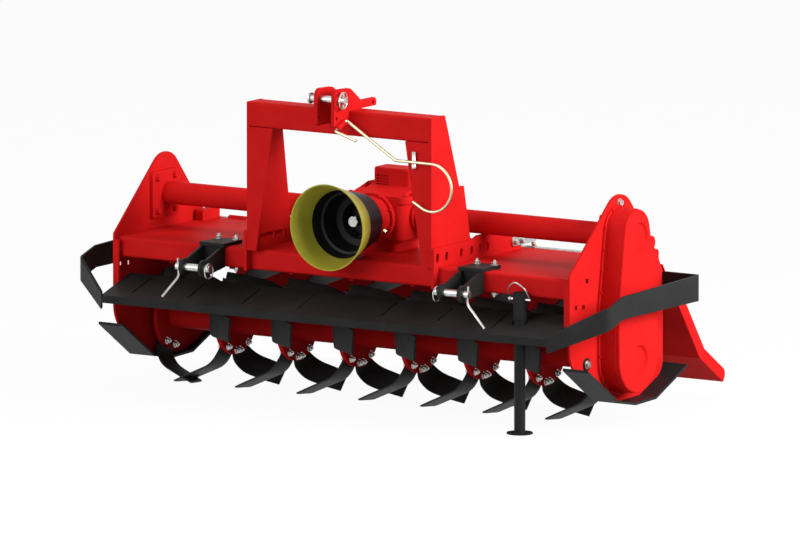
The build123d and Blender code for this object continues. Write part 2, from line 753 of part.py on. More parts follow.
with BuildPart() as top_hitch_pin:
    with BuildSketch(SIDE.offset(-TOP_PIN_HALF)):
        with Locations(TOP_PIN):
            Circle(TOP_PIN_R)
    extrude(amount=2 * TOP_PIN_HALF)
    with BuildSketch(SIDE.offset(-TOP_PIN_HALF)):
        with Locations(TOP_PIN):
            Circle(1.5 * TOP_PIN_R)
    extrude(amount=-TOP_PIN_R / 2)
top_hitch_pin.part.label = "top_hitch_pin"
export_step(top_hitch_pin.part, "parts/top_hitch_pin.step")

# The hook's rod: a short tail, the pivot in the sleeve, the arm, and the loop that holds the shaft
hook_plane = FRONT.offset(-HOOK_ELBOW[1])
heel = elbow + pivot_fall * (HOOK_SLEEVE_L + 2 * HOOK_SLEEVE_ROOM)
tail_end = heel + Vector(HOOK_TAIL[0], 0, HOOK_TAIL[1])
loop_top = hook_plane.from_local_coords(Vector(HOOK_LOOP[0], HOOK_LOOP[1] + HOOK_LOOP_R))
arm_bend = hook_plane.from_local_coords(Vector(*HOOK_BEND))
with BuildPart() as pto_hook:
    with BuildLine() as hook_path:
        FilletPolyline(
            tail_end,
            heel,
            elbow,
            arm_bend,
            loop_top,
            radius=(HOOK_ELBOW_R, HOOK_ELBOW_R, HOOK_BEND_R),
        )
        with BuildLine(hook_plane):
            loop = CenterArc(HOOK_LOOP, HOOK_LOOP_R, 90, -HOOK_LOOP_DEG)
            Line(loop @ 1, loop @ 1 + (loop % 1) * HOOK_TIP_L)
    with BuildSketch(Plane(origin=tail_end, z_dir=heel - tail_end)):
        Circle(HOOK_R)
    sweep(path=hook_path.line)
pto_hook.part.label = "pto_hook"
export_step(pto_hook.part, "parts/pto_hook.step")

# Lower hitch: a clevis on the beam and a pin through it, on each side
ear_points = (
    (BEAM_FRONT, BEAM_TOP),
    (HITCH_BASE_Y[0], BEAM_TOP),
    (HITCH_PIN[0] + HITCH_BOSS_TOUCH[0], HITCH_PIN[1] + HITCH_BOSS_TOUCH[1]),
    HITCH_PIN,
    (HITCH_PIN[0], HITCH_PIN[1] - HITCH_BOSS_R),
    (BEAM_FRONT, BEAM_TOP - BEAM_SIZE),
)
for side, hand in SIDES:
    with BuildPart() as hitch_bracket:
        for x in (HITCH_X - HITCH_GAP / 2 - HITCH_EAR_T, HITCH_X + HITCH_GAP / 2):
            with BuildSketch(SIDE.offset(side * x)):
                with BuildLine():
                    Polyline(*ear_points, close=True)
                make_face()
                with Locations(HITCH_PIN):
                    Circle(HITCH_BOSS_R)
                    Circle(HITCH_PIN_R + FIT_GAP, mode=Mode.SUBTRACT)
            extrude(amount=side * HITCH_EAR_T)
        with BuildSketch(PLAN.offset(BEAM_TOP)):
            with Locations((side * HITCH_X, sum(HITCH_BASE_Y) / 2)):
                Rectangle(HITCH_BASE_W, HITCH_BASE_Y[1] - HITCH_BASE_Y[0])
        extrude(amount=HITCH_BASE_T)
        with BuildSketch(FRONT.offset(-BEAM_FRONT)):
            with Locations((side * HITCH_X, BEAM_TOP - BEAM_SIZE / 2)):
                Rectangle(HITCH_GAP + 2 * HITCH_EAR_T, BEAM_SIZE)
        extrude(amount=HITCH_BACK_T)
    hitch_bracket.part.label = f"hitch_bracket_{hand}"
    export_step(hitch_bracket.part, f"parts/hitch_bracket_{hand}.step")

    with BuildPart() as hitch_pin:
        with BuildSketch(SIDE.offset(side * (HITCH_X - HITCH_PIN_HALF))):
            with Locations(HITCH_PIN):
                Circle(HITCH_PIN_R)
        extrude(amount=side * 2 * HITCH_PIN_HALF)
    hitch_pin.part.label = f"hitch_pin_{hand}"
    export_step(hitch_pin.part, f"parts/hitch_pin_{hand}.step")

# Front guard plate: bent sheet with a row of fore-and-aft slots
GUARD_RISE = guard_top(GUARD_FRONT + GUARD_T) - GUARD_T
with BuildPart() as guard_plate:
    with BuildSketch(SIDE.offset(-GUARD_HALF_W)):
        with BuildLine():
            Polyline(
                (GUARD_FRONT, GUARD_LIP_Z[0]),
                (GUARD_FRONT + GUARD_T, GUARD_LIP_Z[0]),
                (GUARD_FRONT + GUARD_T, GUARD_RISE),
                (GUARD_REAR, GUARD_REAR_Z - GUARD_T),
                (GUARD_REAR, GUARD_REAR_Z),
                (GUARD_FRONT, GUARD_LIP_Z[1]),
                close=True,
            )
        make_face()
    extrude(amount=2 * GUARD_HALF_W)
    with BuildSketch(PLAN):
        with Locations(*[(x, GUARD_SLOT_Y) for x in GUARD_SLOTS_X]):
            SlotOverall(*GUARD_SLOT, rotation=90)
        with Locations((STAND_X, STAND_Y)):
            Circle(STAND_HOLE_R)
    extrude(amount=GUARD_REAR_Z, mode=Mode.SUBTRACT)
guard_plate.part.label = "guard_plate"
export_step(guard_plate.part, "parts/guard_plate.step")

# Side guard bars: flat bars bent round the ends of the machine
bar_side = (
    (GUARD_FRONT, BAR_TOP_Z[0]),
    (BAR_BEND_Y, BAR_TOP_Z[1]),
    (BAR_CREST_Y, BAR_TOP_Z[2]),
    (BAR_REAR, BAR_TOP_Z[3]),
    (BAR_REAR, BAR_TOP_Z[3] - BAR_H[3]),
    (BAR_CREST_Y, BAR_TOP_Z[2] - BAR_H[2]),
    (BAR_BEND_Y, BAR_TOP_Z[1] - BAR_H[1]),
    (GUARD_FRONT, BAR_TOP_Z[0] - BAR_H[0]),
)
for side, hand in SIDES:
    with BuildPart() as guard_bar:
        with BuildSketch(PLAN):
            with BuildLine():
                FilletPolyline(
                    (side * GUARD_HALF_W, GUARD_FRONT),
                    (side * BAR_OUT, BAR_BEND_Y),
                    (side * BAR_OUT, BAR_REAR),
                    (side * PLATE_OUT, BAR_REAR),
                    radius=BAR_BEND_R,
                )
                offset(amount=BAR_T, side=Side.LEFT if side > 0 else Side.RIGHT)
            make_face()
            with Locations((side * (GUARD_HALF_W - BAR_OUT / 2), 0)):
                Rectangle(BAR_OUT, 2 * BAR_OUT, mode=Mode.SUBTRACT)
        extrude(amount=BAR_TOP_Z[3])
        with BuildSketch(SIDE.offset(side * GUARD_HALF_W)):
            with BuildLine():
                Polyline(*bar_side, close=True)
            make_face()
        extrude(amount=side * (BAR_OUT - GUARD_HALF_W), mode=Mode.INTERSECT)
    guard_bar.part.label = f"guard_bar_{hand}"
    export_step(guard_bar.part, f"parts/guard_bar_{hand}.step")

# Parking stand: a sleeve on the beam's front and a leg that slides in it
SLEEVE_BASE = guard_top(BEAM_FRONT) + FIT_GAP
with BuildPart() as stand_sleeve:
    with BuildSketch(PLAN.offset(SLEEVE_BASE)):
        with Locations((STAND_X, STAND_Y)):
            Circle(STAND_SLEEVE_R)
        with Locations((STAND_X, (STAND_Y + BEAM_FRONT) / 2)):
            Rectangle(STAND_SLEEVE_R, BEAM_FRONT - STAND_Y)
        with Locations((STAND_X, STAND_Y)):
            Circle(STAND_R + 2 * FIT_GAP, mode=Mode.SUBTRACT)
    extrude(amount=STAND_SLEEVE_TOP - SLEEVE_BASE)
stand_sleeve.part.label = "stand_sleeve"
export_step(stand_sleeve.part, "parts/stand_sleeve.step")

with BuildPart() as stand_leg:
    with BuildSketch(PLAN.offset(-ROTOR_Z)):
        with Locations((STAND_X, STAND_Y)):
            Circle(STAND_R)
    extrude(amount=ROTOR_Z + STAND_TOP_Z)
    with BuildSketch(PLAN.offset(-ROTOR_Z)):
        with Locations((STAND_X, STAND_Y)):
            Circle(STAND_FOOT_R)
    extrude(amount=STAND_FOOT_T)
stand_leg.part.label = "stand_leg"
export_step(stand_leg.part, "parts/stand_leg.step")

# Side gear case on the right end plate, and its outer cover
with BuildPart() as side_gear_case:
    with BuildSketch(SIDE.offset(PLATE_OUT)):
        for y, z, radius in CASE_CIRCLES:
            with Locations((y, z)):
                Circle(radius)
        make_hull()
        with Locations(CASE_LUG[:2]):
            Circle(CASE_LUG[2])
    extrude(amount=CASE_T)
    with BuildSketch(SIDE.offset(PLATE_OUT)):
        for y, z, radius in CASE_CIRCLES:
            with Locations((y, z)):
                Circle(radius + CASE_FLANGE_W)
        make_hull()
    extrude(amount=CASE_FLANGE_T)
    with BuildSketch(SIDE.offset(BEARING_IN)):
        Circle(BEARING_R)
    extrude(amount=PLATE_OUT - BEARING_IN)
    with BuildSketch(SIDE.offset(BEARING_IN)):
        Circle(STUB_R + FIT_GAP)
    extrude(amount=STUB_REACH + LIP_T - BEARING_IN, mode=Mode.SUBTRACT)
side_gear_case.part.label = "side_gear_case"
export_step(side_gear_case.part, "parts/side_gear_case.step")

with BuildPart() as side_case_cover:
    with BuildSketch(SIDE.offset(PLATE_OUT + CASE_T)):
        for y, z, radius in CASE_CIRCLES:
            with Locations((y, z)):
                Circle(radius - COVER_INSET)
        make_hull()
    extrude(amount=COVER_T)
    fillet(side_case_cover.faces().sort_by(Axis.X)[-1].edges(), COVER_EDGE_R)
    with BuildSketch(SIDE.offset(PLATE_OUT + CASE_T + COVER_T)):
        with Locations((0, TUBE_Z), (0, 0)):
            Circle(BOSS_R)
    extrude(amount=-BOSS_DEPTH, taper=BOSS_TAPER_DEG, mode=Mode.SUBTRACT)
side_case_cover.part.label = "side_case_cover"
export_step(side_case_cover.part, "parts/side_case_cover.step")

# Bearing housing at the left end of the rotor
with BuildPart() as rotor_bearing_left:
    with BuildSketch(SIDE.offset(-PLATE_OUT)):
        Circle(CAP_R)
    extrude(amount=-CAP_T)
    with BuildSketch(SIDE.offset(-PLATE_OUT)):
        Circle(BEARING_R)
    extrude(amount=PLATE_OUT - BEARING_IN)
    with BuildSketch(SIDE.offset(-BEARING_IN)):
        Circle(STUB_R + FIT_GAP)
    extrude(amount=BEARING_IN - STUB_REACH - LIP_T, mode=Mode.SUBTRACT)
rotor_bearing_left.part.label = "rotor_bearing_left"
export_step(rotor_bearing_left.part, "parts/rotor_bearing_left.step")

# Tailboard: bent sheet with end flanges, knuckles and the rods' ears
fall = (Vector(BOARD_BEND) - Vector(HINGE)).normalized()
out = Vector(-fall.Y, fall.X)
board_start = Vector(HINGE) + fall * BOARD_START
board_line = (board_start, Vector(BOARD_BEND), Vector(BOARD_EDGE))
ear_centre = Vector(HINGE) + fall * EAR_ALONG + out * EAR_OFF
rod_fall = (ear_centre - Vector(ADJUST_EYE)).normalized()
ROD_X = MAST_HALF_W + RIB_T / 2


def rod_plane(side, reach):
    """Plane square to an adjusting rod, at a distance down from its eye."""
    place = Vector(ADJUST_EYE) + rod_fall * reach
    origin = SIDE.offset(side * ROD_X).from_local_coords(place)
    return Plane(origin=origin, x_dir=(1, 0, 0), z_dir=(0, rod_fall.X, rod_fall.Y))


EAR_REACH = (ear_centre - Vector(ADJUST_EYE)).length
flange_top = Vector(HINGE) + fall * BOARD_FLANGE_START
flange_out = flange_top + out * BOARD_FLANGE
bend_out = Vector(BOARD_BEND) + (out + toe_out) * (BOARD_FLANGE / (1 + out.dot(toe_out)))
flange_rows = (
    (flange_top.X, flange_top.Y, 0),
    (*BOARD_BEND, 0),
    (*BOARD_EDGE, 0),
    (toe_corner.X, toe_corner.Y, BOARD_CORNER_R),
    (bend_out.X, bend_out.Y, 0),
    (flange_out.X, flange_out.Y, BOARD_CORNER_R),
)
with BuildPart() as tailboard:
    with BuildSketch(SIDE.offset(-BOARD_HALF_W)):
        with BuildLine():
            Polyline(*board_line)
            offset(amount=BOARD_T, side=Side.LEFT)
        make_face()
    extrude(amount=2 * BOARD_HALF_W)
    with BuildSketch(SIDE.offset(-BOARD_HALF_W), SIDE.offset(BOARD_HALF_W - BOARD_T)):
        with BuildLine():
            rounded(flange_rows)
        make_face()
    extrude(amount=BOARD_T)
    with BuildSketch(*[SIDE.offset(x - KNUCKLE_L / 2) for x in BOARD_KNUCKLES_X]):
        with Locations(HINGE):
            Circle(KNUCKLE_R)
        with BuildLine():
            Polyline(
                Vector(HINGE),
                board_start + fall * BOARD_T,
                board_start + fall * BOARD_T + out * BOARD_T,
                Vector(HINGE) + out * BOARD_T,
                close=True,
            )
        make_face()
    extrude(amount=KNUCKLE_L)
    with BuildSketch(SIDE.offset(-BOARD_HALF_W)):
        with Locations(HINGE):
            Circle(HINGE_PIN_R + FIT_GAP)
    extrude(amount=2 * BOARD_HALF_W, mode=Mode.SUBTRACT)
    for side, hand in SIDES:
        with BuildSketch(SIDE.offset(side * ROD_X - EAR_W / 2)):
            with BuildLine():
                Polyline(
                    Vector(HINGE) + fall * (EAR_ALONG - EAR_L / 2),
                    Vector(HINGE) + fall * (EAR_ALONG + EAR_L / 2),
                    Vector(HINGE) + fall * (EAR_ALONG + EAR_L / 2) + out * EAR_H,
                    Vector(HINGE) + fall * (EAR_ALONG - EAR_L / 2) + out * EAR_H,
                    close=True,
                )
            make_face()
        extrude(amount=EAR_W)
        with BuildSketch(rod_plane(side, EAR_REACH - EAR_L)):
            Circle(EAR_HOLE_R)
        extrude(amount=2 * EAR_L, mode=Mode.SUBTRACT)
tailboard.part.label = "tailboard"
export_step(tailboard.part, "parts/tailboard.step")

# Adjusting rods: an eye on the rib's bracket, and a nut under the tailboard's ear
for side, hand in SIDES:
    with BuildPart() as adjust_bracket:
        for x in (MAST_HALF_W - ADJUST_PLATE_T, MAST_HALF_W + RIB_T):
            with BuildSketch(SIDE.offset(side * x)):
                with Locations((ADJUST_EYE[0] + ADJUST_PLATE[1] / 2 - ADJUST_PLATE[0] / 2, ADJUST_EYE[1])):
                    SlotOverall(*ADJUST_PLATE)
            extrude(amount=side * ADJUST_PLATE_T)
        with BuildSketch(SIDE.offset(side * MAST_HALF_W)):
            with Locations(ADJUST_EYE):
                Circle(ADJUST_PIN_R)
        extrude(amount=side * RIB_T)
    adjust_bracket.part.label = f"adjust_bracket_{hand}"
    export_step(adjust_bracket.part, f"parts/adjust_bracket_{hand}.step")

    with BuildPart() as adjust_rod:
        with BuildSketch(SIDE.offset(side * (MAST_HALF_W + FIT_GAP))):
            with Locations(ADJUST_EYE):
                Circle(ADJUST_EYE_R)
        extrude(amount=side * (RIB_T - 2 * FIT_GAP))
        with BuildSketch(rod_plane(side, ADJUST_PIN_R + 2 * FIT_GAP)):
            Rectangle(RIB_T - 2 * FIT_GAP, RIB_T)
        extrude(amount=ADJUST_EYE_R)
        with BuildSketch(rod_plane(side, 2 * ADJUST_EYE_R)):
            Circle(ADJUST_ROD_R)
        extrude(amount=ADJUST_ROD_L - 2 * ADJUST_EYE_R)
        with BuildSketch(rod_plane(side, ADJUST_EYE_R)):
            Circle(ADJUST_ROD_R - 3)
        extrude(amount=ADJUST_EYE_R)
        with BuildSketch(rod_plane(side, EAR_REACH + EAR_L / 2 + 4 * FIT_GAP)):
            RegularPolygon(NUT_R, 6)
        extrude(amount=NUT_L)
        with BuildSketch(SIDE.offset(side * MAST_HALF_W)):
            with Locations(ADJUST_EYE):
                Circle(ADJUST_PIN_R + FIT_GAP)
        extrude(amount=side * RIB_T, mode=Mode.SUBTRACT)
    adjust_rod.part.label = f"adjust_rod_{hand}"
    export_step(adjust_rod.part, f"parts/adjust_rod_{hand}.step")
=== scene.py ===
import json
import math

import bmesh
import bpy
from mathutils import Matrix, Vector


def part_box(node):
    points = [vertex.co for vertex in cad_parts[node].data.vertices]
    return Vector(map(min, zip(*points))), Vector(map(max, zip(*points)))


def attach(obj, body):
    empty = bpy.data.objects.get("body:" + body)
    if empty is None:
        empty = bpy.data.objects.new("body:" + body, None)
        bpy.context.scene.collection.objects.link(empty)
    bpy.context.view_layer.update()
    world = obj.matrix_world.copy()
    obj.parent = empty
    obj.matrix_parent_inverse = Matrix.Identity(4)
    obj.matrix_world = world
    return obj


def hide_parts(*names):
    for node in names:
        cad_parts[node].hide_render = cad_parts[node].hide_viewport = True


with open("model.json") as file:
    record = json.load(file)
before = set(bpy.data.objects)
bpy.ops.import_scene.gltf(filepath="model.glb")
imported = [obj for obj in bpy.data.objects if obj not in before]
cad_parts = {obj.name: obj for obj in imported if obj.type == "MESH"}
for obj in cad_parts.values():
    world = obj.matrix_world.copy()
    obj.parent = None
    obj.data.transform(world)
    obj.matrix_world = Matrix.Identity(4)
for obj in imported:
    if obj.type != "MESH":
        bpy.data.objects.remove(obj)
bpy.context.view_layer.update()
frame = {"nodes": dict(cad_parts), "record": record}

# Places are millimetres from the rotor axis, with Y rearwards and Z upwards, as (x, y, z)
MM = 0.001
ROTOR_LOW, ROTOR_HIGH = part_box("rotor_shaft")
ROTOR_AXIS = (ROTOR_LOW + ROTOR_HIGH) / 2
SIDES = (-1, 1)
UP = (0, 0, 1)
DOWN = (0, 0, -1)
RIGHT = (1, 0, 0)
LEFT = (-1, 0, 0)
FORWARD = (0, -1, 0)
REARWARD = (0, 1, 0)
TURN = 2 * math.pi


def at(x, y, z):
    """A place given from the rotor axis in millimetres, as a point of the frame in metres."""
    return ROTOR_AXIS + Vector((x, y, z)) * MM


# Camera: a long lens from the front right, as the photograph shows the machine
CAMERA_AZIMUTH = math.radians(33.0)
CAMERA_ELEVATION = math.radians(8.7)
CAMERA_DISTANCE = 60.0
CAMERA_CLIP = 400.0
VIEW_WIDTH = 2.705
SENSOR = 36.0
VIEW_TARGET = at(42, 0, 220)


def make_camera():
    data = bpy.data.cameras.new("camera")
    data.sensor_width = SENSOR
    data.lens = SENSOR * CAMERA_DISTANCE / VIEW_WIDTH
    data.clip_end = CAMERA_CLIP
    camera = bpy.data.objects.new("camera", data)
    bpy.context.scene.collection.objects.link(camera)
    back = Vector((
        math.sin(CAMERA_AZIMUTH) * math.cos(CAMERA_ELEVATION),
        -math.cos(CAMERA_AZIMUTH) * math.cos(CAMERA_ELEVATION),
        math.sin(CAMERA_ELEVATION),
    ))
    camera.location = VIEW_TARGET + back * CAMERA_DISTANCE
    camera.rotation_mode = "QUATERNION"
    camera.rotation_quaternion = (-back).to_track_quat("-Z", "Y")
    bpy.context.scene.camera = camera


# Materials, one for each slot of the record. Grain scales are per metre, depths and edges in metres
BROAD_DETAIL = 3.0
FINE_SCALE = 420.0
FINE_DETAIL = 2.0
FINE_DEPTH = 0.001
DARK_AT = 0.3
LIGHT_AT = 0.7
EDGE_SAMPLES = 4
FINISHES = {
    "red_paint": {
        "dark": (0.54, 0.010, 0.010),
        "light": (0.61, 0.013, 0.013),
        "rough": (0.44, 0.54),
        "specular": 0.015,
        "bump": 0.03,
    },
    "black_paint": {
        "dark": (0.012, 0.012, 0.012),
        "light": (0.018, 0.018, 0.018),
        "rough": (0.42, 0.52),
        "specular": 0.09,
        "bump": 0.06,
    },
    "tine_black": {
        "dark": (0.022, 0.022, 0.022),
        "light": (0.034, 0.034, 0.033),
        "rough": (0.44, 0.56),
        "specular": 0.08,
        "grain": 30.0,
        "bump": 0.12,
    },
    "zinc": {
        "dark": (0.42, 0.42, 0.41),
        "light": (0.62, 0.62, 0.60),
        "rough": (0.24, 0.38),
        "metallic": 1.0,
        "grain": 60.0,
        "edge": 0.0006,
    },
    "yellow_plastic": {
        "dark": (0.36, 0.33, 0.03),
        "light": (0.43, 0.39, 0.045),
        "rough": (0.34, 0.44),
        "specular": 0.2,
        "grain": 14.0,
    },
    "black_plastic": {
        "dark": (0.005, 0.005, 0.006),
        "light": (0.009, 0.009, 0.010),
        "rough": (0.42, 0.55),
        "specular": 0.15,
        "grain": 20.0,
    },
    "yellow_zinc": {
        "dark": (0.50, 0.43, 0.27),
        "light": (0.64, 0.57, 0.39),
        "rough": (0.26, 0.38),
        "metallic": 1.0,
        "grain": 50.0,
        "edge": 0.0006,
    },
}


def object_noise(nodes, links, scale, detail):
    """Noise in the object's own coordinates, which are metres."""
    place = nodes.new("ShaderNodeTexCoord")
    noise = nodes.new("ShaderNodeTexNoise")
    noise.inputs["Scale"].default_value = scale
    noise.inputs["Detail"].default_value = detail
    links.new(place.outputs["Object"], noise.inputs["Vector"])
    return noise.outputs["Fac"]


def finish_material(
    slot, dark, light, rough, metallic=0.0, specular=0.5, grain=9.0, bump=0.02, edge=0.0015
):
    """A finish whose colour and roughness vary a little, with a fine surface grain and soft edges."""
    material = bpy.data.materials.new(slot)
    material.use_nodes = True
    nodes = material.node_tree.nodes
    links = material.node_tree.links
    shader = nodes["Principled BSDF"]
    shader.inputs["Metallic"].default_value = metallic
    shader.inputs["Specular IOR Level"].default_value = specular
    broad = object_noise(nodes, links, grain, BROAD_DETAIL)
    ramp = nodes.new("ShaderNodeValToRGB")
    ramp.color_ramp.elements[0].position = DARK_AT
    ramp.color_ramp.elements[0].color = (*dark, 1.0)
    ramp.color_ramp.elements[1].position = LIGHT_AT
    ramp.color_ramp.elements[1].color = (*light, 1.0)
    links.new(broad, ramp.inputs["Fac"])
    links.new(ramp.outputs["Color"], shader.inputs["Base Color"])
    spread = nodes.new("ShaderNodeMapRange")
    spread.inputs["To Min"].default_value = rough[0]
    spread.inputs["To Max"].default_value = rough[1]
    links.new(broad, spread.inputs["Value"])
    links.new(spread.outputs["Result"], shader.inputs["Roughness"])
    fine = object_noise(nodes, links, FINE_SCALE, FINE_DETAIL)
    soft = nodes.new("ShaderNodeBevel")
    soft.samples = EDGE_SAMPLES
    soft.inputs["Radius"].default_value = edge
    relief = nodes.new("ShaderNodeBump")
    relief.inputs["Strength"].default_value = bump
    relief.inputs["Distance"].default_value = FINE_DEPTH
    links.new(fine, relief.inputs["Height"])
    links.new(soft.outputs["Normal"], relief.inputs["Normal"])
    links.new(relief.outputs["Normal"], shader.inputs["Normal"])
    return material


MATERIALS = {slot: finish_material(slot, **finish) for slot, finish in FINISHES.items()}


def dress_nodes():
    """Give every CAD node the finish of its slot."""
    slots = {row["node"]: row["material_slot"] for row in frame["record"]["subparts"]}
    for name, piece in frame["nodes"].items():
        for place in piece.material_slots:
            place.material = MATERIALS[slots[name]]


# Small pieces, gathered into one mesh for each body and finish
SHARP_ANGLE = math.radians(35)
ROD_SIDES = 12
# Heads and nuts: the washer, the chamfer and the stud, as shares of the radius or height, or in millimetres
WASHER_SPREAD = 1.25
WASHER_T = 2.0
CHAMFER_START = 0.85
CHAMFER_TOP = 0.88
STUD_SHARE = 0.5
STUD_TIP = 0.4
STUD_CHAMFER = 1


def turned_rings(mesh, place, axis, rows, sides, phase):
    """Rings of points for rows of (radius, height) in millimetres along an axis from a place."""
    turn = Vector(axis).to_track_quat("Z", "Y")
    rings = []
    for radius, height in rows:
        ring = []
        for i in range(sides):
            angle = TURN * (i + phase) / sides
            offset = Vector((radius * math.cos(angle), radius * math.sin(angle), height)) * MM
            ring.append(mesh.verts.new(place + turn @ offset))
        rings.append(ring)
    return rings


def skin(mesh, rings):
    """Faces from each ring to the next."""
    for low, high in zip(rings, rings[1:]):
        for i in range(len(low)):
            j = (i + 1) % len(low)
            mesh.faces.new((low[i], low[j], high[j], high[i]))


def cap(mesh, rings):
    """A face over the first ring and one over the last."""
    mesh.faces.new(rings[0][::-1])
    mesh.faces.new(rings[-1])


def stack(mesh, place, axis, rows, sides=20):
    """Add a turned solid to a mesh: rows of (radius, height) in millimetres along an axis from a place."""
    rings = turned_rings(mesh, place, axis, rows, sides, 0.5)
    skin(mesh, rings)
    cap(mesh, rings)


def rod(mesh, place, axis, radius, length, chamfer=0):
    """A thin round bar, with a chamfer at its far end where there is one."""
    rows = [(radius, 0), (radius, length - chamfer)]
    if chamfer:
        rows.append((radius - chamfer, length))
    stack(mesh, place, axis, rows, sides=ROD_SIDES)


def hex_head(mesh, place, axis, radius, height, washer=True, stud=0.0):
    """A hexagon head or nut on its washer, with the end of the stud above it where there is one."""
    lift = 0.0
    if washer:
        spread = radius * WASHER_SPREAD
        stack(mesh, place, axis, ((spread, 0), (spread, WASHER_T)))
        lift = WASHER_T
    rows = (
        (radius, lift),
        (radius, lift + height * CHAMFER_START),
        (radius * CHAMFER_TOP, lift + height),
    )
    stack(mesh, place, axis, rows, sides=6)
    if stud:
        low = lift + height - STUD_CHAMFER
        top = lift + height + stud
        rows = (
            (radius * STUD_SHARE, low),
            (radius * STUD_SHARE, top - STUD_CHAMFER),
            (radius * STUD_TIP, top),
        )
        stack(mesh, place, axis, rows, sides=ROD_SIDES)


def wire(mesh, points, radius, sides=10, closed=False):
    """Add a round wire of a radius in millimetres to a mesh, along points of the frame in metres."""
    count = len(points)
    rings = []
    side = None
    for i, point in enumerate(points):
        before = points[i - 1] if i or closed else point
        after = points[(i + 1) % count] if i < count - 1 or closed else point
        ahead = (after - before).normalized()
        if side is None:
            side = ahead.orthogonal().normalized()
        side = (side - ahead * side.dot(ahead)).normalized()
        other = ahead.cross(side)
        ring = []
        for k in range(sides):
            angle = TURN * k / sides
            offset = side * math.cos(angle) + other * math.sin(angle)
            ring.append(mesh.verts.new(point + offset * radius * MM))
        rings.append(ring)
    if closed:
        skin(mesh, rings + rings[:1])
    else:
        skin(mesh, rings)
        cap(mesh, rings)


def smooth_path(corners, bend, steps=6):
    """Points along straight runs whose corners are rounded off over a length in metres."""
    points = [corners[0]]
    for before, corner, after in zip(corners, corners[1:], corners[2:]):
        start = corner + (before - corner).normalized() * bend
        end = corner + (after - corner).normalized() * bend
        for i in range(steps + 1):
            t = i / steps
            points.append(start * (1 - t) ** 2 + corner * 2 * t * (1 - t) + end * t ** 2)
    points.append(corners[-1])
    return points


def ring_points(centre, axis, radius, count=36):
    """Points on a circle of a radius in millimetres."""
    turn = Vector(axis).to_track_quat("Z", "Y")
    points = []
    for i in range(count):
        angle = TURN * i / count
        points.append(centre + turn @ (Vector((math.cos(angle), math.sin(angle), 0)) * radius * MM))
    return points


def keep(mesh, name, body, slot):
    """Turn a mesh into a piece that rides on a body and takes its finish from a slot."""
    bmesh.ops.recalc_face_normals(mesh, faces=mesh.faces)
    data = bpy.data.meshes.new(name)
    mesh.to_mesh(data)
    mesh.free()
    for face in data.polygons:
        face.use_smooth = True
    data.set_sharp_from_angle(angle=SHARP_ANGLE)
    data.materials.append(MATERIALS[slot])
    piece = bpy.data.objects.new(name, data)
    bpy.context.scene.collection.objects.link(piece)
    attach(piece, body)
    return piece


# Tines: each is bolted flat on its flange's left face and curls sideways, to the right or to the left
FLANGES = 8
FLANGE_PITCH = 250
FLANGE_X = [(i - (FLANGES - 1) / 2) * FLANGE_PITCH for i in range(FLANGES)]
FLANGE_FACE = 8
TINES_OF_A_HAND = 3
TINE_T = 8
TINE_EDGE_THIN = 1.5
TINE_BEND_DEG = 66
# The trailing corner of the tip stops short by this length, which fades quickly away from the tip
TINE_SLANT = 13
TINE_SLANT_POWER = 6
# Degrees by which all tines are turned at rest, and by which right-hand tines follow left-hand ones
TINE_LEAN = -8
RIGHT_HAND_LAG = 42
# Bend of a right-hand and of a left-hand tine: where it starts, its radius and the straight run to the tip
TINE_BENDS = {1: (108, 84, 99), -1: (85, 92, 137)}
# Outline of a tine: distance out, trailing edge and leading edge
TINE_OUTLINE = (
    (64, -14, 46),
    (88, -16, 62),
    (121, -16, 74),
    (167, -19, 76),
    (204, -22, 70),
    (225, -24, 62),
)
# Bolts of a tine: distance ahead and distance out, then the head and the nut as (radius, height)
TINE_BOLTS = ((-4.5, 103), (47.6, 91.4))
TINE_HEAD = (10, 8)
TINE_NUT = (10, 9)
TINE_STUD = 6


def tine_edges(out):
    """Trailing and leading edge of the tine at a distance out."""
    for low, high in zip(TINE_OUTLINE, TINE_OUTLINE[1:]):
        if out <= high[0] or high is TINE_OUTLINE[-1]:
            t = (out - low[0]) / (high[0] - low[0])
            return low[1] + (high[1] - low[1]) * t, low[2] + (high[2] - low[2]) * t


def tine_length(hand):
    """Length of a tine along its middle line."""
    start, radius, run = TINE_BENDS[hand]
    return start - TINE_OUTLINE[0][0] + radius * math.radians(TINE_BEND_DEG) + run


def tine_line(hand, reach):
    """Sideways and outward place and the slope on the tine's middle line, at a length along it."""
    start, radius = TINE_BENDS[hand][:2]
    bend = math.radians(TINE_BEND_DEG)
    straight = start - TINE_OUTLINE[0][0]
    curl = min(max(reach - straight, 0) / radius, bend)
    past = max(reach - straight - radius * bend, 0)
    side = radius * (1 - math.cos(curl)) + past * math.sin(curl)
    out = TINE_OUTLINE[0][0] + min(reach, straight) + radius * math.sin(curl) + past * math.cos(curl)
    return side, out, curl


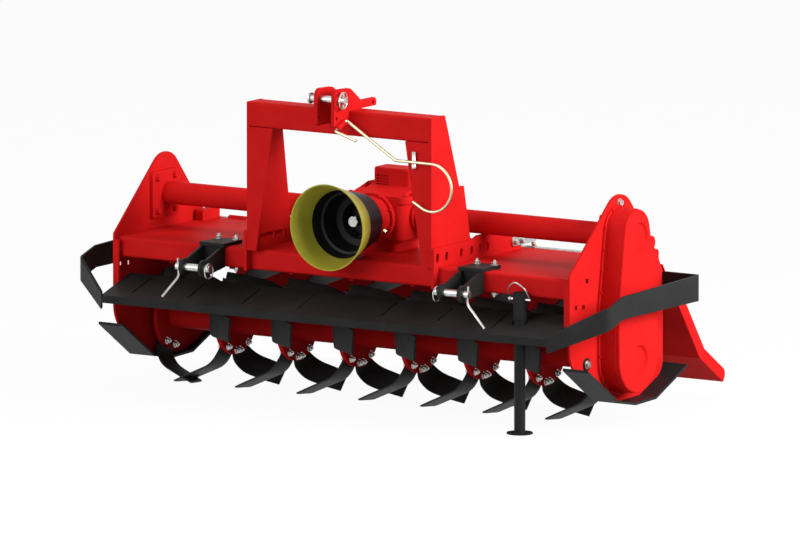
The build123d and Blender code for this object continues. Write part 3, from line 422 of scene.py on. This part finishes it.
def add_tine(mesh, x, hand, turn, rows=26, columns=6):
    """One curved tine, as a bent plate that is thinner along its two long edges."""
    middle = x - FLANGE_FACE - TINE_T / 2
    grids = {}
    for face in SIDES:
        grid = []
        for i in range(rows + 1):
            row = []
            for j in range(columns + 1):
                share = j / columns
                short = TINE_SLANT * (1 - share) * (i / rows) ** TINE_SLANT_POWER
                side, out, curl = tine_line(hand, tine_length(hand) * i / rows - short)
                trail, lead = tine_edges(out)
                ahead = trail + (lead - trail) * share
                half = TINE_T / 2 if 0 < j < columns else TINE_T / 2 - TINE_EDGE_THIN
                side += face * half * math.cos(curl)
                out -= face * half * math.sin(curl)
                spot = turn @ Vector((0, -ahead, -out))
                row.append(mesh.verts.new(at(middle + hand * side, spot.y, spot.z)))
            grid.append(row)
        grids[face] = grid
        for i in range(rows):
            for j in range(columns):
                mesh.faces.new((grid[i][j], grid[i][j + 1], grid[i + 1][j + 1], grid[i + 1][j]))
    rim = [(i, 0) for i in range(rows)] + [(rows, j) for j in range(columns)]
    rim += [(i, columns) for i in range(rows, 0, -1)] + [(0, j) for j in range(columns, 0, -1)]
    for (i, j), (k, m) in zip(rim, rim[1:] + rim[:1]):
        mesh.faces.new((grids[-1][i][j], grids[-1][k][m], grids[1][k][m], grids[1][i][j]))


def rotor_tines():
    """Both hands of tines with their bolts. The left end's flange is set ahead of the others."""
    bolts = bmesh.new()
    hands = (
        ("tines_right_hand", 1, FLANGE_X[:-1], RIGHT_HAND_LAG),
        ("tines_left_hand", -1, FLANGE_X[1:], 0),
    )
    for node, hand, places, phase in hands:
        mesh = bmesh.new()
        for x in places:
            lag = 0 if x == FLANGE_X[0] else phase
            for step in range(TINES_OF_A_HAND):
                angle = TINE_LEAN + lag + step * 360 / TINES_OF_A_HAND
                turn = Matrix.Rotation(math.radians(angle), 3, "X")
                add_tine(mesh, x, hand, turn)
                for ahead, out in TINE_BOLTS:
                    spot = turn @ Vector((0, -ahead, -out))
                    hex_head(bolts, at(x - FLANGE_FACE - TINE_T, spot.y, spot.z), LEFT, *TINE_HEAD)
                    hex_head(bolts, at(x + FLANGE_FACE, spot.y, spot.z), RIGHT, *TINE_NUT, stud=TINE_STUD)
        blades = keep(mesh, "curved_" + node, "rotor", "tine_black")
        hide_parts(node)
    keep(bolts, "rotor_bolts", "rotor", "zinc")


# Shared places: height of the cross tubes' axis and the end plates' outer face
TUBE_Z = 417
PLATE_OUT = 919

# Bolts of the lower hitch brackets, which run past the beam from above to below
HITCH_BOLT_X = (485, 555)
HITCH_BOLT_Y = -207
HITCH_BOLT_FOOT = 205
HITCH_BOLT_R = 6.5
HITCH_BOLT_L = 110
HITCH_NUT = (11, 9)
HITCH_TOP_NUT_Z = 313
HITCH_TOP_STUD = 6
HITCH_LOW_NUT_Z = 222
HITCH_LOW_STUD = 5

# Bolts through the ribs for the adjusting rods' brackets
BRACKET_BOLT_Y = (178, 220)
BRACKET_BOLT_Z = 330
BRACKET_OUTER = 391
BRACKET_INNER = 363
BRACKET_BOLT = (10, 8)

# Bolts on the end plates: the skid's with its washer, and one above the cross tube
PLATE_BOLT = (12, 9)
PLATE_BOLT_Y = 0
PLATE_BOLT_Z = 528
SKID_BOLT_Y = -205
SKID_BOLT_Z = 6
SKID_WASHER_R = 22
SKID_WASHER_T = 3
SKID_WASHER_SIDES = 28

# A stud with two nuts at each rear corner of the deck
DECK_STUD_X = 887
DECK_STUD_Y = 256
DECK_STUD_Z = 336
DECK_STUD_R = 6
DECK_STUD_L = 34
DECK_NUT = (10, 9)
DECK_SECOND_NUT = 16

# A peg on the front of the right mast leg: its foot, then its rows of (radius, height)
LEG_PEG = (307, -322, 634)
LEG_PEG_ROWS = ((7, 0), (8.5, 2), (8.5, 14), (7.5, 16), (7.5, 57), (6.5, 58))

# The gear case seen from its end: circles as (y, z, radius), its lug as (y, z) and the lug's bolt
CASE_CIRCLES = ((-12, 435, 80), (-4, 180, 125), (-4, 11, 122))
CASE_LUG = (98, 385)
LUG_BOLT = (11, 8)
LUG_BOLT_OUT = 34
LUG_BOLT_BACK = 23


def frame_bolts():
    mesh = bmesh.new()
    for side in SIDES:
        inward = (-side, 0, 0)
        outward = (side, 0, 0)
        for x in HITCH_BOLT_X:
            above = at(side * x, HITCH_BOLT_Y, HITCH_TOP_NUT_Z)
            below = at(side * x, HITCH_BOLT_Y, HITCH_LOW_NUT_Z)
            hex_head(mesh, above, UP, *HITCH_NUT, stud=HITCH_TOP_STUD)
            rod(mesh, at(side * x, HITCH_BOLT_Y, HITCH_BOLT_FOOT), UP, HITCH_BOLT_R, HITCH_BOLT_L)
            hex_head(mesh, below, DOWN, *HITCH_NUT, stud=HITCH_LOW_STUD)
        for y in BRACKET_BOLT_Y:
            hex_head(mesh, at(side * BRACKET_OUTER, y, BRACKET_BOLT_Z), outward, *BRACKET_BOLT)
            hex_head(mesh, at(side * BRACKET_INNER, y, BRACKET_BOLT_Z), inward, *BRACKET_BOLT)
        skid_face = PLATE_OUT + SKID_WASHER_T
        hex_head(mesh, at(side * skid_face, SKID_BOLT_Y, SKID_BOLT_Z), outward, *PLATE_BOLT)
        hex_head(mesh, at(side * PLATE_OUT, PLATE_BOLT_Y, PLATE_BOLT_Z), outward, *PLATE_BOLT)
        foot = at(side * DECK_STUD_X, DECK_STUD_Y, DECK_STUD_Z)
        second = at(side * DECK_STUD_X, DECK_STUD_Y, DECK_STUD_Z + DECK_SECOND_NUT)
        rod(mesh, foot, UP, DECK_STUD_R, DECK_STUD_L, chamfer=1)
        hex_head(mesh, foot, UP, *DECK_NUT)
        hex_head(mesh, second, UP, *DECK_NUT, washer=False)
    lug = at(PLATE_OUT + LUG_BOLT_OUT, CASE_LUG[0] + LUG_BOLT_BACK, CASE_LUG[1])
    hex_head(mesh, lug, REARWARD, *LUG_BOLT)
    stack(mesh, at(*LEG_PEG), UP, LEG_PEG_ROWS)
    keep(mesh, "frame_bolts", "frame", "zinc")


# Painted bolts: on the cross tubes' end flanges
FLANGE_BOLT_X = 899
FLANGE_BOLT_Y = (-66, 38)
FLANGE_BOLT_Z = (360, 474)
FLANGE_BOLT = (11, 9)

# Along both sides of the gearbox's lid
LID_BOLT_X = 111
LID_BOLT_Y = (-70, -24, 24, 70)
LID_BOLT_Z = 491
LID_BOLT = (7, 6)

# Under the front beam
BEAM_BOLTS = 7
BEAM_BOLT_MIDDLE = 15
BEAM_BOLT_PITCH = 243
BEAM_BOLT_Y = -253
BEAM_BOLT_Z = 231
BEAM_BOLT = (10, 8)

# Round the input carrier
CARRIER_BOLTS = 8
CARRIER_BOLT_CIRCLE = 79
CARRIER_FACE = -111
CARRIER_BOLT = (5, 6)

# Round the gear case, left out at its lug
CASE_BOLT_GROW = 5
CASE_BOLT_PITCH = 74
CASE_FLANGE_T = 6
CASE_LUG_CLEAR = 45
CASE_BOLT = (5, 4)


def case_outline(grow, count=240):
    """Points round the gear case, grown outwards by some millimetres."""
    points = []
    for i in range(count):
        angle = TURN * i / count
        ahead = (math.cos(angle), math.sin(angle))
        y, z, radius = max(CASE_CIRCLES, key=lambda c: c[0] * ahead[0] + c[1] * ahead[1] + c[2])
        points.append(Vector(((radius + grow) * ahead[0] + y, (radius + grow) * ahead[1] + z)))
    return points


def spaced(points, pitch):
    """Places at an even pitch along a closed line."""
    runs = list(zip(points, points[1:] + points[:1]))
    total = sum((b - a).length for a, b in runs)
    step = total / round(total / pitch)
    places = []
    left = 0.0
    for a, b in runs:
        length = (b - a).length
        while left < length:
            places.append(a + (b - a) * (left / length))
            left += step
        left -= length
    return places


def painted_bolts():
    """Bolts that were painted over with the castings and the frame."""
    mesh = bmesh.new()
    for side in SIDES:
        for y in FLANGE_BOLT_Y:
            for z in FLANGE_BOLT_Z:
                hex_head(mesh, at(side * FLANGE_BOLT_X, y, z), (-side, 0, 0), *FLANGE_BOLT)
        for y in LID_BOLT_Y:
            hex_head(mesh, at(side * LID_BOLT_X, y, LID_BOLT_Z), UP, *LID_BOLT, washer=False)
    for i in range(BEAM_BOLTS):
        x = BEAM_BOLT_MIDDLE + BEAM_BOLT_PITCH * (i - BEAM_BOLTS // 2)
        hex_head(mesh, at(x, BEAM_BOLT_Y, BEAM_BOLT_Z), DOWN, *BEAM_BOLT)
    for i in range(CARRIER_BOLTS):
        angle = math.radians(360 * (i + 0.5) / CARRIER_BOLTS)
        x = CARRIER_BOLT_CIRCLE * math.cos(angle)
        z = TUBE_Z + CARRIER_BOLT_CIRCLE * math.sin(angle)
        hex_head(mesh, at(x, CARRIER_FACE, z), FORWARD, *CARRIER_BOLT, washer=False)
    for place in spaced(case_outline(CASE_BOLT_GROW), CASE_BOLT_PITCH):
        if (place - Vector(CASE_LUG)).length > CASE_LUG_CLEAR:
            spot = at(PLATE_OUT + CASE_FLANGE_T, place.x, place.y)
            hex_head(mesh, spot, RIGHT, *CASE_BOLT, washer=False)
    keep(mesh, "painted_bolts", "frame", "red_paint")


def skid_washers():
    mesh = bmesh.new()
    rows = ((SKID_WASHER_R, 0), (SKID_WASHER_R, SKID_WASHER_T))
    for side in SIDES:
        place = at(side * PLATE_OUT, SKID_BOLT_Y, SKID_BOLT_Z)
        stack(mesh, place, (side, 0, 0), rows, sides=SKID_WASHER_SIDES)
    keep(mesh, "skid_washers", "frame", "black_paint")


# Lower hitch pins: a handle of bent wire, as (x, z), and a clip ring. Bends are in metres
PIN_Y = -414
HANDLE = ((583, 269), (580, 207), (648, 132))
HANDLE_BEND = 0.012
HANDLE_WIRE = 4.5
CLIP_X = 459
CLIP_Z = 233
CLIP_R = 25
CLIP_WIRE = 2.5

# Top hitch pin: a clip ring and the peg it hangs on
TOP_CLIP = (58, -375, 850)
TOP_CLIP_AXIS = (1, 0.1, 0)
TOP_CLIP_R = 28
TOP_CLIP_WIRE = 2.6
TOP_PEG_DROP = 24
TOP_PEG_R = 4
TOP_PEG_L = 50

# The stand's pin: a knob, both ends of the pin and a wire that arches in front of the leg
STAND_ARCH = ((688, -317, 225), (692, -341, 266), (727, -350, 290), (762, -341, 266), (766, -317, 225))
STAND_ARCH_BEND = 0.016
STAND_WIRE = 2.2
STAND_KNOB = (687, -317, 225)
STAND_KNOB_R = 8
STAND_KNOB_STEPS = 8
STAND_KNOB_TIP = 0.1
STAND_PIN_R = 5
STAND_PIN_L = 14
STAND_PIN_END = (751, -317, 225)
STAND_PIN_END_L = 18


def pin_wires():
    mesh = bmesh.new()
    for side in SIDES:
        handle = [at(side * x, PIN_Y, z) for x, z in HANDLE]
        wire(mesh, smooth_path(handle, HANDLE_BEND), HANDLE_WIRE)
        clip = ring_points(at(side * CLIP_X, PIN_Y, CLIP_Z), RIGHT, CLIP_R)
        wire(mesh, clip, CLIP_WIRE, closed=True)
    wire(mesh, ring_points(at(*TOP_CLIP), TOP_CLIP_AXIS, TOP_CLIP_R), TOP_CLIP_WIRE, closed=True)
    x, y, z = TOP_CLIP
    rod(mesh, at(x, y, z - TOP_PEG_DROP), UP, TOP_PEG_R, TOP_PEG_L)
    arch = [at(*corner) for corner in STAND_ARCH]
    wire(mesh, smooth_path(arch, STAND_ARCH_BEND), STAND_WIRE)
    ball = []
    for i in range(STAND_KNOB_STEPS + 1):
        angle = math.pi * i / STAND_KNOB_STEPS
        ball.append((STAND_KNOB_R * math.sin(angle) + STAND_KNOB_TIP, -STAND_KNOB_R * math.cos(angle)))
    stack(mesh, at(*STAND_KNOB), UP, ball)
    rod(mesh, at(*STAND_KNOB), RIGHT, STAND_PIN_R, STAND_PIN_L)
    rod(mesh, at(*STAND_PIN_END), RIGHT, STAND_PIN_R, STAND_PIN_END_L, chamfer=1)
    keep(mesh, "pin_wires", "frame", "zinc")


# Inner wall of a mast leg: height, distance from the middle and rear edge at its top and at its foot
LINING_TOP = (723, 267, -251)
LINING_FOOT = (355, 335, -95)
LINING_FRONT = -304
LINING_T = 8


def leg_linings():
    """The inner wall of each mast leg, along the inner edge of its tapered front."""
    mesh = bmesh.new()
    for side in SIDES:
        rings = []
        for height, near, rear in (LINING_TOP, LINING_FOOT):
            far = near + LINING_T
            corners = ((near, LINING_FRONT), (near, rear), (far, rear), (far, LINING_FRONT))
            rings.append([mesh.verts.new(at(side * x, y, height)) for x, y in corners])
        for ring in rings:
            mesh.faces.new(ring)
        skin(mesh, rings)
    keep(mesh, "leg_linings", "frame", "red_paint")


# The plug on the gearbox: its way out from the shaft's axis, and how far out it sits
PLUG_Y = -132
PLUG_WAY = (60, 0, -38)
PLUG_OUT = 73
PLUG_HEX = (10, 9)


def brass_plugs():
    mesh = bmesh.new()
    ahead = Vector(PLUG_WAY).normalized()
    place = at(0, PLUG_Y, TUBE_Z) + ahead * PLUG_OUT * MM
    hex_head(mesh, place, ahead, *PLUG_HEX)
    keep(mesh, "brass_plugs", "frame", "yellow_zinc")


# The shaft guard's inner shield, as (y, radius) from its mouth to the shaft, and its wall
SHIELD_ROWS = ((-262, 109), (-258, 98), (-197, 86), (-194, 64), (-187, 61), (-142, 61), (-139, 26))
SHIELD_WALL = 2.0
SHIELD_SIDES = 64


def guard_shield():
    """The black inner shield of the shaft guard, stepped down towards the shaft."""
    mesh = bmesh.new()
    profile = [(radius, -y) for y, radius in SHIELD_ROWS]
    profile += [(radius, -y - SHIELD_WALL) for y, radius in reversed(SHIELD_ROWS)]
    rings = turned_rings(mesh, at(0, 0, TUBE_Z), FORWARD, profile, SHIELD_SIDES, 0)
    skin(mesh, rings + rings[:1])
    keep(mesh, "guard_shield", "frame", "black_plastic")


# Splines of the shaft end: their ends, then (radius, half width) at the root and at the top
SPLINES = 6
SPLINE_ENDS = (-225, -150)
SPLINE_SECTION = ((16.5, 4.4), (18.6, 4.0))


def shaft_splines():
    mesh = bmesh.new()
    for i in range(SPLINES):
        angle = math.radians(i * 360 / SPLINES)
        ahead = Vector((math.cos(angle), 0, math.sin(angle)))
        across = Vector((-math.sin(angle), 0, math.cos(angle)))
        corners = []
        for y in SPLINE_ENDS:
            for reach, half in SPLINE_SECTION:
                for sign in SIDES:
                    offset = ahead * reach + across * half * sign
                    corners.append(mesh.verts.new(at(0, y, TUBE_Z) + offset * MM))
        a, b, c, d, e, f, g, h = corners
        for face in ((a, b, d, c), (e, g, h, f), (a, c, g, e), (b, f, h, d), (c, d, h, g), (a, e, f, b)):
            mesh.faces.new(face)
    keep(mesh, "shaft_splines", "pto_shaft", "zinc")


# Light: a broad key from the right, a weaker fill from the front, a faint one from above, a pale surround
WHITE = (1.0, 1.0, 1.0, 1.0)
SURROUND_STRENGTH = 0.20
LIGHT_AIM = (0, 0, 0.4)
# Name, place in metres, size in metres and power in watts
LIGHTS = (
    ("key", (6.7, 0.2, 3.3), 3.6, 720.0),
    ("fill", (-2.5, -7.0, 3.5), 5.0, 330.0),
    ("top", (0.5, 0.5, 6.0), 4.0, 75.0),
)
# Floor: its size in metres, its grey for bounced light, its grey where it's seen, and how much of it glows
FLOOR_SIZE = 400
FLOOR_BOUNCE = (0.5, 0.5, 0.5, 1.0)
FLOOR_SEEN = (0.9, 0.9, 0.9, 1.0)
FLOOR_GLOW_SHARE = 0.95


def area_light(name, place, size, power):
    data = bpy.data.lights.new(name, "AREA")
    data.shape = "SQUARE"
    data.size = size
    data.energy = power
    light = bpy.data.objects.new(name, data)
    bpy.context.scene.collection.objects.link(light)
    light.location = place
    light.rotation_mode = "QUATERNION"
    light.rotation_quaternion = (Vector(LIGHT_AIM) - Vector(place)).to_track_quat("-Z", "Y")


def seen_rays(nodes, links):
    """A factor of 1 for rays that see the background white: the camera's, mirrored and passing ones."""
    path = nodes.new("ShaderNodeLightPath")
    total = path.outputs["Is Camera Ray"]
    for name in ("Is Glossy Ray", "Is Transmission Ray"):
        add = nodes.new("ShaderNodeMath")
        add.use_clamp = True
        links.new(total, add.inputs[0])
        links.new(path.outputs[name], add.inputs[1])
        total = add.outputs[0]
    return total


def make_world():
    world = bpy.data.worlds.new("world")
    bpy.context.scene.world = world
    world.use_nodes = True
    nodes = world.node_tree.nodes
    links = world.node_tree.links
    surround = nodes["Background"]
    surround.inputs["Color"].default_value = WHITE
    surround.inputs["Strength"].default_value = SURROUND_STRENGTH
    white = nodes.new("ShaderNodeBackground")
    white.inputs["Color"].default_value = WHITE
    mix = nodes.new("ShaderNodeMixShader")
    links.new(seen_rays(nodes, links), mix.inputs[0])
    links.new(surround.outputs["Background"], mix.inputs[1])
    links.new(white.outputs["Background"], mix.inputs[2])
    links.new(mix.outputs["Shader"], nodes["World Output"].inputs["Surface"])


def make_floor():
    bpy.ops.mesh.primitive_plane_add(size=FLOOR_SIZE, location=(0, 0, 0))
    floor = bpy.context.object
    floor.name = "floor"
    material = bpy.data.materials.new("floor")
    material.use_nodes = True
    nodes = material.node_tree.nodes
    links = material.node_tree.links
    nodes.remove(nodes["Principled BSDF"])
    shaded = nodes.new("ShaderNodeBsdfDiffuse")
    shaded.inputs["Color"].default_value = FLOOR_BOUNCE
    seen = nodes.new("ShaderNodeBsdfDiffuse")
    seen.inputs["Color"].default_value = FLOOR_SEEN
    glow = nodes.new("ShaderNodeEmission")
    glow.inputs["Strength"].default_value = 1.0
    white = nodes.new("ShaderNodeMixShader")
    white.inputs[0].default_value = FLOOR_GLOW_SHARE
    links.new(seen.outputs["BSDF"], white.inputs[1])
    links.new(glow.outputs["Emission"], white.inputs[2])
    mix = nodes.new("ShaderNodeMixShader")
    links.new(seen_rays(nodes, links), mix.inputs[0])
    links.new(shaded.outputs["BSDF"], mix.inputs[1])
    links.new(white.outputs["Shader"], mix.inputs[2])
    links.new(mix.outputs["Shader"], nodes["Material Output"].inputs["Surface"])
    floor.data.materials.append(material)


make_camera()
bpy.context.scene.view_settings.view_transform = "Standard"
dress_nodes()
rotor_tines()
frame_bolts()
painted_bolts()
skid_washers()
pin_wires()
leg_linings()
brass_plugs()
guard_shield()
shaft_splines()
make_world()
make_floor()
for row in LIGHTS:
    area_light(*row)
